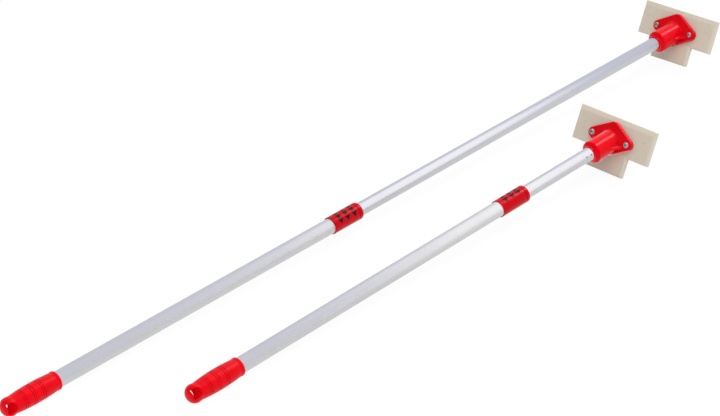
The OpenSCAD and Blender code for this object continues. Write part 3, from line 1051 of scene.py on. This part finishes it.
def cut(mesh, cutter):
    """The first mesh without the second, by an exact Boolean; both are used up."""
    body = bpy.data.objects.new("body", mesh)
    tool = bpy.data.objects.new("tool", cutter)
    for thing in (body, tool):
        bpy.context.scene.collection.objects.link(thing)
    modifier = body.modifiers.new("hole", "BOOLEAN")
    modifier.operation = "DIFFERENCE"
    modifier.solver = "EXACT"
    modifier.material_mode = "TRANSFER"
    modifier.object = tool
    shaped = body.evaluated_get(bpy.context.evaluated_depsgraph_get())
    result = bpy.data.meshes.new_from_object(shaped)
    for thing in (body, tool):
        bpy.data.objects.remove(thing)
    for used in (mesh, cutter):
        bpy.data.meshes.remove(used)
    return result


for pole in POLES:
    mesh = turned(pole + "_grip", grip_outline())
    cutter = hang_cutter()
    cutter.transform(Matrix.Rotation(math.radians(HANG_ROLL[pole]), 4, "X"))
    for shape in (mesh, cutter):
        shape.materials.append(grip_red)
        shape.materials.append(core)
    mesh = cut(mesh, cutter)
    smooth(mesh)
    rim = reach(pole + "_end_grip", pole_axes[pole])[1]
    place = pole_axes[pole] @ Matrix.Translation((rim * MM, 0, 0))
    put(pole + "_grip", mesh, place, pole + "_handle", pole + "_end_grip", "red")

# %% [markdown]
# The collar is a thin red sleeve with a rounded far end and one turned groove over the end of the outer
# tube. Behind the groove its bore narrows and guides the inner tube.

# %% The collars
COLLAR_GUIDE = 7.0
COLLAR_ROUND = 1.2
COLLAR_NEAR_ROUND = 0.5
GROOVE_HALF = 0.75
GROOVE_DEPTH = 1.05
GUIDE_GAP = 0.09
GUIDE_CHAMFER = 0.6

for pole in POLES:
    start, end, radius = reach(pole + "_guide_collar", pole_axes[pole])
    groove = end - COLLAR_GUIDE
    sleeve = TUBE_R + FIT
    guide = INNER_R + GUIDE_GAP
    near = arc((start + COLLAR_NEAR_ROUND, radius - COLLAR_NEAR_ROUND), COLLAR_NEAR_ROUND, 180, 90, 5)
    far = arc((end - COLLAR_ROUND, radius - COLLAR_ROUND), COLLAR_ROUND, 90, 0, 8)
    ticks = np.linspace(-1, 1, 9)
    turned_groove = [(groove + t * GROOVE_HALF, radius - GROOVE_DEPTH * (1 - t**4)) for t in ticks]
    inside = [(end, guide + GUIDE_CHAMFER), (end - GUIDE_CHAMFER, guide), (groove, guide)]
    inside += [(groove, sleeve), (start, sleeve)]
    mesh = turned(pole + "_collar", near + turned_groove + far + inside)
    mesh.materials.append(printed[pole])
    smooth(mesh)
    put(pole + "_collar", mesh, pole_axes[pole], pole + "_handle", pole + "_guide_collar", "red")

# %% [markdown]
# The socket is one moulding: a round body with a tapered nose, a leaning flange and two side webs, all
# run together with soft fillets. Fillets between leaning shapes are hard to bevel. A distance field
# makes them easy: each form is a formula that says how far a point is from its skin, and a smooth
# minimum joins two formulas with a fillet between them.

# %% Joining distances
FLANGE_FILLET = 3.0


def both(a, b, k):
    """The smooth union of two distances, with a fillet of about k millimetres."""
    h = np.clip(0.5 + 0.5 * (b - a) / k, 0, 1)
    return b + (a - b) * h - k * h * (1 - h)


def within(a, b, k):
    """The smooth intersection of two distances, with a round edge of about k millimetres."""
    return -both(-a, -b, k)


print("where body and flange meet, the fillet stands %.2f mm proud" % -both(0.0, 0.0, FLANGE_FILLET))

# %% [markdown]
# The body is a cylinder that narrows slightly towards the flange. In front a cone leads down to a thin
# sleeve round the inner tube. Each is a line in the plane of distance along the axis and radius, so each
# formula is short.

# %% The body of the socket
SOCKET_R = 18.7
SOCKET_DRAFT = 0.4
NOSE_LENGTH = 7.0
SHOULDER_ROUND = 1.6
TIP_LENGTH = 3.0
TIP_WALL = 1.5
TIP_ROUND = 1.2
TIP_FILLET = 1.0


def body_distance(x, radius, length):
    """The round body with its tip sleeve and tapered nose."""
    tip_r = INNER_R + TIP_WALL
    side = radius - SOCKET_R + SOCKET_DRAFT * (x - NOSE_LENGTH) / (length - NOSE_LENGTH)
    run = NOSE_LENGTH - TIP_LENGTH
    rise = SOCKET_R - tip_r
    cone = (run * (radius - tip_r) - rise * (x - TIP_LENGTH)) / math.hypot(run, rise)
    sleeve = within(radius - tip_r, -x, TIP_ROUND)
    return both(within(side, cone, SHOULDER_ROUND), sleeve, TIP_FILLET)


print("socket: %.1f mm across" % (2 * SOCKET_R))

# %% [markdown]
# The flange is a plate on the face of the block. Its outline is a soft rhombus: four circles, one round
# each screw and one at the upper and lower corner, wrapped by straight lines. A quarter of it is enough,
# because absolute values fold the other three quarters onto it.

# %% The flange of the socket
SCREW_SIDE = 35.5
FLANGE_UP = 2.5
FLANGE_THICK = 8.0
FLANGE_END_R = 9.0
FLANGE_CORNER_R = 12.0
FLANGE_CORNER = 16.5
FLANGE_ROUND = 1.4


def flange_distance(up, across, out):
    """A plate whose outline wraps two end circles and two corner circles."""
    end = np.array((SCREW_SIDE, 0.0))
    span = np.array((0.0, FLANGE_CORNER)) - end
    length = np.hypot(*span)
    lean_cos = (FLANGE_END_R - FLANGE_CORNER_R) / length
    ahead_2d = span / length
    outward = lean_cos * ahead_2d + math.sqrt(1 - lean_cos**2) * np.array((ahead_2d[1], -ahead_2d[0]))
    tangent = np.array((-outward[1], outward[0]))
    v, u = np.abs(across), np.abs(up - FLANGE_UP)
    along = (v - end[0]) * tangent[0] + (u - end[1]) * tangent[1]
    line = (v - end[0]) * outward[0] + (u - end[1]) * outward[1] - FLANGE_END_R
    edge = np.where(along < 0, np.hypot(v - SCREW_SIDE, u) - FLANGE_END_R, line)
    edge = np.where(along > span @ tangent, np.hypot(v, u - FLANGE_CORNER) - FLANGE_CORNER_R, edge)
    return within(edge, out - FLANGE_THICK, 2 * FLANGE_ROUND)


print("flange: %.1f mm across" % (2 * (SCREW_SIDE + FLANGE_END_R)))

# %% [markdown]
# Two thin webs stiffen the body against the flange. Now all forms are joined, and the bore for the inner
# tube and the two screw holes are taken away. The foot is cut a little too deep here, and it is pressed
# flat later, which keeps its outline clean.

# %% The webs and the whole socket
WEB_HALF = 1.4
WEB_START = 32.0
WEB_FOOT = (49.0, 31.0)
WEB_ROUND = 1.2
WEB_FILLET = 1.8
SOCKET_SEAT = 45.0
MOUTH_ROUND = 0.5
SCREW_HOLE = 2.3
FOOT_SINK = 2.0


def web_distance(x, y, z):
    """The two webs between body and flange, in the plane of the axis."""
    run = WEB_FOOT[0] - WEB_START
    rise = WEB_FOOT[1] - SOCKET_R
    edge = (run * (np.abs(y) - SOCKET_R) - rise * (x - WEB_START)) / math.hypot(run, rise)
    edge = np.maximum(edge, np.abs(y) - WEB_FOOT[1])
    return within(edge, np.abs(z) - WEB_HALF, WEB_ROUND)


def socket_distance(points, lean, length):
    """Signed distance of points, in millimetres in the socket's axes, from the socket's skin."""
    x, y, z = points[..., 0], points[..., 1], points[..., 2]
    radius = np.hypot(y, z)
    up = (x - length) * math.sin(lean) + z * math.cos(lean)
    out = z * math.sin(lean) - (x - length) * math.cos(lean)
    form = both(body_distance(x, radius, length), flange_distance(up, y, out), FLANGE_FILLET)
    form = both(form, web_distance(x, y, z), WEB_FILLET)
    form = within(form, -np.maximum(radius - INNER_R - FIT, x - SOCKET_SEAT), MOUTH_ROUND)
    hole = np.hypot(up - FLANGE_UP, np.abs(y) - SCREW_SIDE) - SCREW_HOLE
    form = np.maximum(form, -np.maximum(hole, out - FLANGE_THICK - 1))
    return np.maximum(form, -out - FOOT_SINK)


print("webs: %.1f mm thick" % (2 * WEB_HALF))

# %% [markdown]
# To turn a distance field into a mesh we sample it on a grid of small cubes. Every cube that the skin
# passes through gets one vertex, and every grid edge that the skin crosses gets one quad between its
# four cubes. Marching cubes would do as well, but they make many thin triangles.

# %% A net of cubes
GRID = 1.0


def cube_net(field, low, high):
    """One vertex in each cube that the skin passes through, and the quads between them."""
    ticks = [np.arange(a, b + GRID, GRID) for a, b in zip(low, high)]
    grid = np.stack(np.meshgrid(*ticks, indexing="ij"), axis=-1)
    inside = field(grid) < 0
    cells = tuple(n - 1 for n in inside.shape)
    corner_count = sum(
        inside[i:i + cells[0], j:j + cells[1], k:k + cells[2]].astype(int)
        for i in (0, 1) for j in (0, 1) for k in (0, 1)
    )
    active = (corner_count > 0) & (corner_count < 8)
    number = np.full(cells, -1)
    number[active] = np.arange(active.sum())
    quads = []
    for axis in range(3):
        first, second = (axis + 1) % 3, (axis + 2) % 3
        here = np.take(inside, range(cells[axis]), axis)
        there = np.take(inside, range(1, cells[axis] + 1), axis)
        for leaving in (True, False):
            crossed = np.argwhere((here & ~there) if leaving else (~here & there))
            keep = (crossed[:, first] > 0) & (crossed[:, second] > 0)
            keep &= (crossed[:, first] < cells[first]) & (crossed[:, second] < cells[second])
            crossed = crossed[keep]
            ring = []
            for a, b in ((-1, -1), (0, -1), (0, 0), (-1, 0)):
                cell = crossed.copy()
                cell[:, first] += a
                cell[:, second] += b
                ring.append(number[tuple(cell.T)])
            quads.append(np.stack(ring if leaving else ring[::-1], axis=-1))
    return (np.argwhere(active) + 0.5) * GRID + np.array(low), np.concatenate(quads)


print("grid of %.1f mm" % GRID)

# %% [markdown]
# The thin tip of the nose is finer than the cubes. It is round, so it gets rings of vertices instead, from
# a rough outline that starts at a seam on the body, goes round the tip and comes back inside the bore.

# %% Rings for the nose
NOSE_STEPS = 96
NOSE_SEAM = 12.0
NOSE_SHOULDER = 9.5
MOUTH_DEPTH = 1.2
NOSE_RINGS = (2, 6, 14, 9, 8, 4, 1)


def ring_net(outline):
    """Rings of vertices round X through (along, radius) points, and the quads between them."""
    around = np.arange(NOSE_STEPS) * math.tau / NOSE_STEPS
    rings = [[(x, r * math.cos(a), r * math.sin(a)) for a in around] for x, r in outline]
    number = np.arange(len(outline) * NOSE_STEPS).reshape(-1, NOSE_STEPS)
    beside = np.roll(number, -1, axis=1)
    quads = np.stack([number[:-1], number[1:], beside[1:], beside[:-1]], axis=-1)
    return np.array(rings).reshape(-1, 3), quads.reshape(-1, 4)


def nose_outline():
    """A rough outline of the nose, from its seam round the tip and back inside the bore."""
    tip = INNER_R + TIP_WALL
    bore = INNER_R + FIT
    seam = NOSE_SEAM - GRID / 2
    corners = [(seam, SOCKET_R), (NOSE_SHOULDER, SOCKET_R), (NOSE_LENGTH, SOCKET_R), (TIP_LENGTH, tip)]
    corners += [(0, tip), (0, bore), (MOUTH_DEPTH, bore), (seam, bore)]
    points = []
    for near, far, count in zip(corners, corners[1:], NOSE_RINGS):
        points += np.linspace(near, far, count, endpoint=False).tolist()
    return points + [corners[-1]]


print("nose:", len(nose_outline()), "rings")

# %% [markdown]
# The vertices of a net are only near the skin. A few steps down the field's slope bring each of them
# exactly onto it, and the slope itself is the shading normal, so the mesh looks smoother than its grid.
# Then the foot is pressed flat, the nose is bridged to the body, and edges of almost no length go.

# %% Drawing a net onto the skin
SKIN_STEPS = 8
LEAST_SLOPE = 0.2
DUST = 0.002


def slope(field, points, step=0.02):
    """The field's slope at points, by central differences."""
    parts = []
    for axis in range(3):
        move = np.zeros(3)
        move[axis] = step
        parts.append((field(points + move) - field(points - move)) / (2 * step))
    return np.stack(parts, axis=-1)


def on_outside(edge):
    """Whether an edge of the seam is on the body's outside, and not in its bore."""
    return edge.verts[0].co.yz.length > (INNER_R + SOCKET_R) / 2 * MM


def skin(name, field, nets, foot, foot_way):
    """A mesh of several nets drawn onto the zero skin of a field, with a flat foot; in millimetres."""
    quads = []
    total = 0
    for points, faces in nets:
        quads.append(faces + total)
        total += len(points)
    points = np.concatenate([net[0] for net in nets])
    for _ in range(SKIN_STEPS):
        direction = slope(field, points)
        steep = np.maximum((direction**2).sum(-1), LEAST_SLOPE)
        points -= (field(points) / steep)[:, None] * direction
    points -= np.minimum((points - foot) @ foot_way, 0)[:, None] * foot_way
    mesh = bpy.data.meshes.new(name)
    mesh.from_pydata(points * MM, [], np.concatenate(quads).tolist())
    mesh.validate()
    form = bmesh.new()
    form.from_mesh(mesh)
    for outside in (True, False):
        rims = [edge for edge in form.edges if edge.is_boundary and on_outside(edge) == outside]
        bmesh.ops.bridge_loops(form, edges=rims)
    bmesh.ops.dissolve_degenerate(form, dist=DUST * MM, edges=form.edges)
    form.to_mesh(mesh)
    form.free()
    points = np.array([vertex.co for vertex in mesh.vertices]) / MM
    normals = slope(field, points)
    normals /= np.linalg.norm(normals, axis=-1, keepdims=True)
    mesh.polygons.foreach_set("use_smooth", [True] * len(mesh.polygons))
    mesh.normals_split_custom_set_from_vertices(normals)
    return mesh


print("net drawn on in", SKIN_STEPS, "steps")

# %% [markdown]
# The two sockets differ a little in how far the block lies from the nose and how much it leans. Both
# numbers come from the axes that we measured. The grid starts at the nose's seam and reaches a little
# beyond the CAD node on all other sides.

# %% The sockets
NET_MARGIN = 4

for pole in POLES:
    place = socket_axes[pole]
    up_face = face_axes[pole].to_3x3().col[0]
    length = (face_axes[pole].translation - place.translation).length / MM
    lean = math.asin(up_face.dot(place.to_3x3().col[0]))
    box = points_of(pole + "_head_socket", place)
    low = box.min(axis=0) - NET_MARGIN
    low[0] = NOSE_SEAM - GRID / 2
    field = partial(socket_distance, lean=lean, length=length)
    nets = [cube_net(field, low, box.max(axis=0) + NET_MARGIN), ring_net(nose_outline())]
    foot_way = np.array((-math.cos(lean), 0, math.sin(lean)))
    mesh = skin(pole + "_socket", field, nets, np.array((length, 0, 0)), foot_way)
    mesh.materials.append(red)
    put(pole + "_socket", mesh, place, pole + "_head_section", pole + "_head_socket", "red")

# %% [markdown]
# The block is a T cut from thick sheet. Its front is chamfered all round and has a broad bevel along the
# top. Three rings of the T outline, at the back, at the start of the chamfer and at the front, give all
# its faces. A small bevel then takes the knife edge off every corner, as sanding would.

# %% The form of a T block
BAR_HEIGHT = 57.0
STEM_WIDTH = 76.0
BLOCK_CHAMFER = 2.5
TOP_BEVEL = 7.5
SANDED = 0.45


def tee(low, high, half, inset, top):
    """The T outline as (up, across) points, drawn in by an inset and by top at its upper edge."""
    stem = STEM_WIDTH / 2 - inset
    shoulder = high - BAR_HEIGHT + inset
    side = half - inset
    right_half = [(high - top, side), (shoulder, side), (shoulder, stem), (low + inset, stem)]
    return right_half + [(u, -v) for u, v in reversed(right_half)]


def block_mesh(name, low, high, half, thick):
    """A T between two heights on its face, with a half width and a thickness, in millimetres."""
    form = bmesh.new()
    rings = []
    for depth, inset, top in ((-thick, 0, 0), (-BLOCK_CHAMFER, 0, 0), (0, BLOCK_CHAMFER, TOP_BEVEL)):
        outline = tee(low, high, half, inset, top)
        rings.append([form.verts.new((u * MM, v * MM, depth * MM)) for u, v in outline])
    for lower, upper in zip(rings, rings[1:]):
        for i in range(len(lower)):
            j = (i + 1) % len(lower)
            form.faces.new((lower[i], lower[j], upper[j], upper[i]))
    form.faces.new(rings[0])
    form.faces.new(rings[-1])
    bmesh.ops.recalc_face_normals(form, faces=form.faces)
    bmesh.ops.bevel(form, geom=form.edges[:], offset=SANDED * MM, segments=2, profile=0.5, affect="EDGES")
    return closed(form, name)


print("bar %.0f mm high, stem %.0f mm wide" % (BAR_HEIGHT, STEM_WIDTH))

# %% [markdown]
# Each block has two small round marks on its face, one near each end of the bar. They are modelled as
# shallow pin holes. The punch that cuts them is slightly conical, so that no ring of its points lies in
# the face, which an exact Boolean would not like.

# %% The T blocks
PIN_UP = 14.0
PIN_SIDE = 61.0
PIN_RADIUS = 1.1
PIN_TAPER = 0.3
PIN_DEPTH = 1.6
PIN_STEPS = 20


def pin_cutter():
    """Two small round punches that mark the block's face."""
    narrow = (1 - PIN_TAPER) * PIN_RADIUS
    wide = (1 + PIN_TAPER) * PIN_RADIUS
    outline = [(-PIN_DEPTH, 0), (-PIN_DEPTH, narrow), (PIN_DEPTH, wide), (PIN_DEPTH, 0)]
    form = bmesh.new()
    for side in (-1, 1):
        punch = turned("punch", outline, PIN_STEPS)
        punch.transform(Matrix.Rotation(-math.pi / 2, 4, "Y"))
        punch.transform(Matrix.Translation((PIN_UP * MM, side * PIN_SIDE * MM, 0)))
        form.from_mesh(punch)
        bpy.data.meshes.remove(punch)
    mesh = bpy.data.meshes.new("punches")
    form.to_mesh(mesh)
    form.free()
    return mesh


for pole in POLES:
    box = points_of(pole + "_pad_block", face_axes[pole])
    low = box.min(axis=0)
    mesh = block_mesh(pole + "_block", low[0], box[:, 0].max(), -low[1], -low[2])
    mesh.materials.append(board)
    punches = pin_cutter()
    punches.materials.append(board)
    mesh = cut(mesh, punches)
    mesh.polygons.foreach_set("use_smooth", [True] * len(mesh.polygons))
    piece = put(pole + "_block", mesh, face_axes[pole], pole + "_head_section", pole + "_pad_block", "board")
    piece.modifiers.new("flat_faces", "WEIGHTED_NORMAL")

# %% [markdown]
# Two pan head screws hold each flange. A pan head is flat on top with a round shoulder, which a
# superellipse draws well. A cross recess is cut into it, and the shank gets the ridges of its thread.

# %% The form of a screw
SCREW_STEPS = 40
HEAD_R = 4.5
HEAD_CHAMFER = 0.2
HEAD_HEIGHT = 3.4
HEAD_POWER = 2.6
SHANK_R = 2.0
THREAD_PITCH = 1.4
THREAD_DEPTH = 0.35
CROSS_WIDTH = 1.4
CROSS_LENGTH = 5.4
CROSS_DEPTH = 1.9
CROSS_TAPER = 0.55


def screw_mesh(name, length):
    """A screw along X whose head sits on x = 0."""
    turns = int(length / THREAD_PITCH) - 2
    outline = [(-length, 0), (-length + SHANK_R, SHANK_R - THREAD_DEPTH)]
    for turn in range(turns):
        x = -length + SHANK_R + turn * THREAD_PITCH
        outline += [(x + THREAD_PITCH * 0.5, SHANK_R), (x + THREAD_PITCH, SHANK_R - THREAD_DEPTH)]
    outline += [(0, SHANK_R), (0, HEAD_R - HEAD_CHAMFER)]
    for angle in np.radians(np.linspace(3, 90, 14)):
        x = HEAD_HEIGHT * math.sin(angle) ** (2 / HEAD_POWER)
        outline.append((x, HEAD_R * max(math.cos(angle), 0.0) ** (2 / HEAD_POWER)))
    outline[-1] = (HEAD_HEIGHT, 0)
    mesh = turned(name, outline, SCREW_STEPS)
    for turn in (0, 1):
        form = bmesh.new()
        bmesh.ops.create_cube(form, size=1)
        for corner in form.verts:
            taper = 1.0 if corner.co.x > 0 else CROSS_TAPER
            depth = HEAD_HEIGHT + corner.co.x * 2 * CROSS_DEPTH
            span = corner.co.y * CROSS_LENGTH * taper
            width = corner.co.z * CROSS_WIDTH * taper
            corner.co = Vector((depth, span, width)) * MM
        form.transform(Matrix.Rotation(turn * math.pi / 2, 4, "X"))
        slot = bpy.data.meshes.new("slot")
        form.to_mesh(slot)
        form.free()
        mesh = cut(mesh, slot)
    return mesh


print("screw head %.1f mm across" % (2 * HEAD_R))

# %% [markdown]
# Both screws of a head are one node in the CAD model, so their meshes are joined. Hands never stop two
# screws at the same angle, so each cross is turned by its own amount.

# %% The flange screws
SCREW_TURNS = ((-1, 20), (1, 65))

for pole in POLES:
    box = points_of(pole + "_flange_screws", face_axes[pole])
    pattern = screw_mesh("screw", FLANGE_THICK - box[:, 2].min())
    form = bmesh.new()
    for side, turn in SCREW_TURNS:
        screw = pattern.copy()
        screw.transform(Matrix.Rotation(math.radians(turn), 4, "X"))
        screw.transform(Matrix.Rotation(-math.pi / 2, 4, "Y"))
        screw.transform(Matrix.Translation(Vector((FLANGE_UP, side * SCREW_SIDE, FLANGE_THICK)) * MM))
        form.from_mesh(screw)
        bpy.data.meshes.remove(screw)
    bpy.data.meshes.remove(pattern)
    mesh = bpy.data.meshes.new(pole + "_screws")
    form.to_mesh(mesh)
    form.free()
    mesh.materials.append(zinc)
    smooth(mesh)
    put(pole + "_screws", mesh, face_axes[pole], pole + "_head_section", pole + "_flange_screws", "steel")
